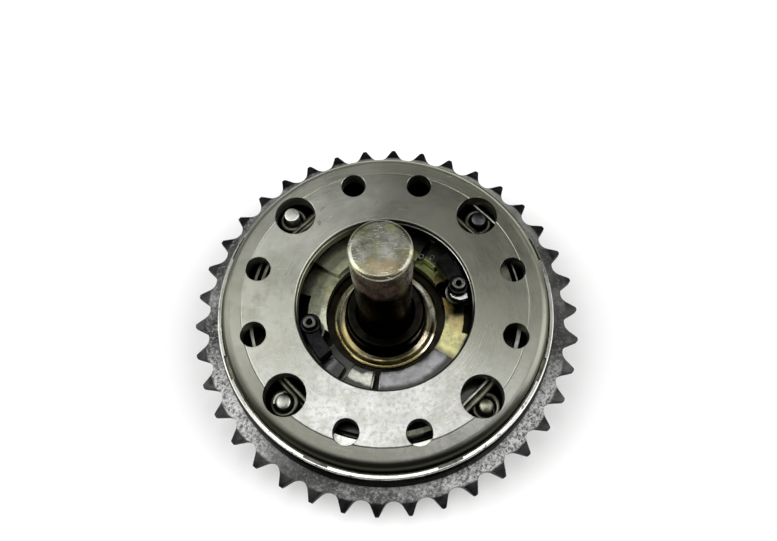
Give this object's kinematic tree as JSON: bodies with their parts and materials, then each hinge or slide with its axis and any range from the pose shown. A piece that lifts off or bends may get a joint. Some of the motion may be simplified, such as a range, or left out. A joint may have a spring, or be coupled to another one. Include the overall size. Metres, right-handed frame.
{
  "type": "timing belt pulley",
  "caption": "Toothed timing wheel on a drum, with a drilled ring cover, sprung flyweights inside and a shaft that they turn a few degrees ahead of the wheel.",
  "frame": {"origin": "on the shaft's axis, at the rear face that the unit stands on", "axes": "+Z along the shaft, from the rear face to the shaft's free end; +X towards one drive post, 15.6 degrees short of it"},
  "size_m": [0.1178, 0.118, 0.0704],
  "materials": {
    "black_steel": "black oxide on hardened steel, lightly polished by the chain",
    "turned_steel": "satin turned steel under a thin oil film",
    "drum_steel": "dark steel with a bright turned rim",
    "ground_steel": "ground steel",
    "oiled_steel": "pressed steel yellowed by engine oil",
    "dark_steel": "dark oiled steel",
    "spring_steel": "bright drawn spring wire",
    "bronze": "oiled bearing bronze"
  },
  "bodies": {
    "drive": {"sprocket": "black_steel", "drum": "drum_steel", "cover_plate": "turned_steel", "cover_snap_ring": "spring_steel", "rear_cover": "drum_steel", "rear_screw_1": "dark_steel", "rear_screw_2": "dark_steel", "rear_screw_3": "dark_steel", "rear_screw_4": "dark_steel", "locating_dowel": "ground_steel", "hub_bush": "bronze", "rear_thrust_washer": "bronze", "pivot_pin_a": "ground_steel", "pivot_pin_b": "ground_steel", "tail_post_a": "ground_steel", "tail_post_b": "ground_steel", "pivot_spring_a": "spring_steel", "pivot_spring_b": "spring_steel", "tail_spring_a": "spring_steel", "tail_spring_b": "spring_steel"},
    "hub": {"hub": "dark_steel", "shaft": "ground_steel", "hub_key": "dark_steel", "shaft_washer": "ground_steel", "shaft_nut": "dark_steel", "hub_circlip": "spring_steel", "thrust_ring": "bronze", "drive_post_a": "spring_steel", "drive_post_b": "spring_steel", "post_clip_a": "ground_steel", "post_clip_b": "ground_steel", "post_arm_a": "dark_steel", "post_arm_b": "dark_steel"},
    "flyweight_a": {"weight_plate_a": "oiled_steel", "nose_block_a": "ground_steel", "tail_block_a": "ground_steel", "pivot_bush_a": "bronze", "spring_peg_a": "ground_steel", "nose_rivet_1_a": "ground_steel", "nose_rivet_2_a": "ground_steel", "tail_rivet_1_a": "ground_steel", "tail_rivet_2_a": "ground_steel"},
    "flyweight_b": {"weight_plate_b": "oiled_steel", "nose_block_b": "ground_steel", "tail_block_b": "ground_steel", "pivot_bush_b": "bronze", "spring_peg_b": "ground_steel", "nose_rivet_1_b": "ground_steel", "nose_rivet_2_b": "ground_steel", "tail_rivet_1_b": "ground_steel", "tail_rivet_2_b": "ground_steel"}
  },
  "joints": [
    {"name": "hub_advance", "type": "hinge", "parent": "drive", "child": "hub", "pos_m": [0, 0, 0.0306], "axis": [0, 0, 1], "range_deg": [0, 8]},
    {"name": "flyweight_a_swing", "type": "hinge", "parent": "drive", "child": "flyweight_a", "pos_m": [-0.02913, 0.02913, 0.017], "axis": [0, 0, -1], "range_deg": [0, 4.5], "stiffness_Nm_per_rad": 0.4, "springref_deg": -14.32},
    {"name": "flyweight_b_swing", "type": "hinge", "parent": "drive", "child": "flyweight_b", "pos_m": [0.02913, -0.02913, 0.017], "axis": [0, 0, -1], "range_deg": [0, 4.5], "stiffness_Nm_per_rad": 0.4, "springref_deg": -14.32}
  ],
  "couplings": [
    {"joint": "flyweight_a_swing", "follows": "hub_advance", "ratio": 0.5625},
    {"joint": "flyweight_b_swing", "follows": "hub_advance", "ratio": 0.5625}
  ]
}
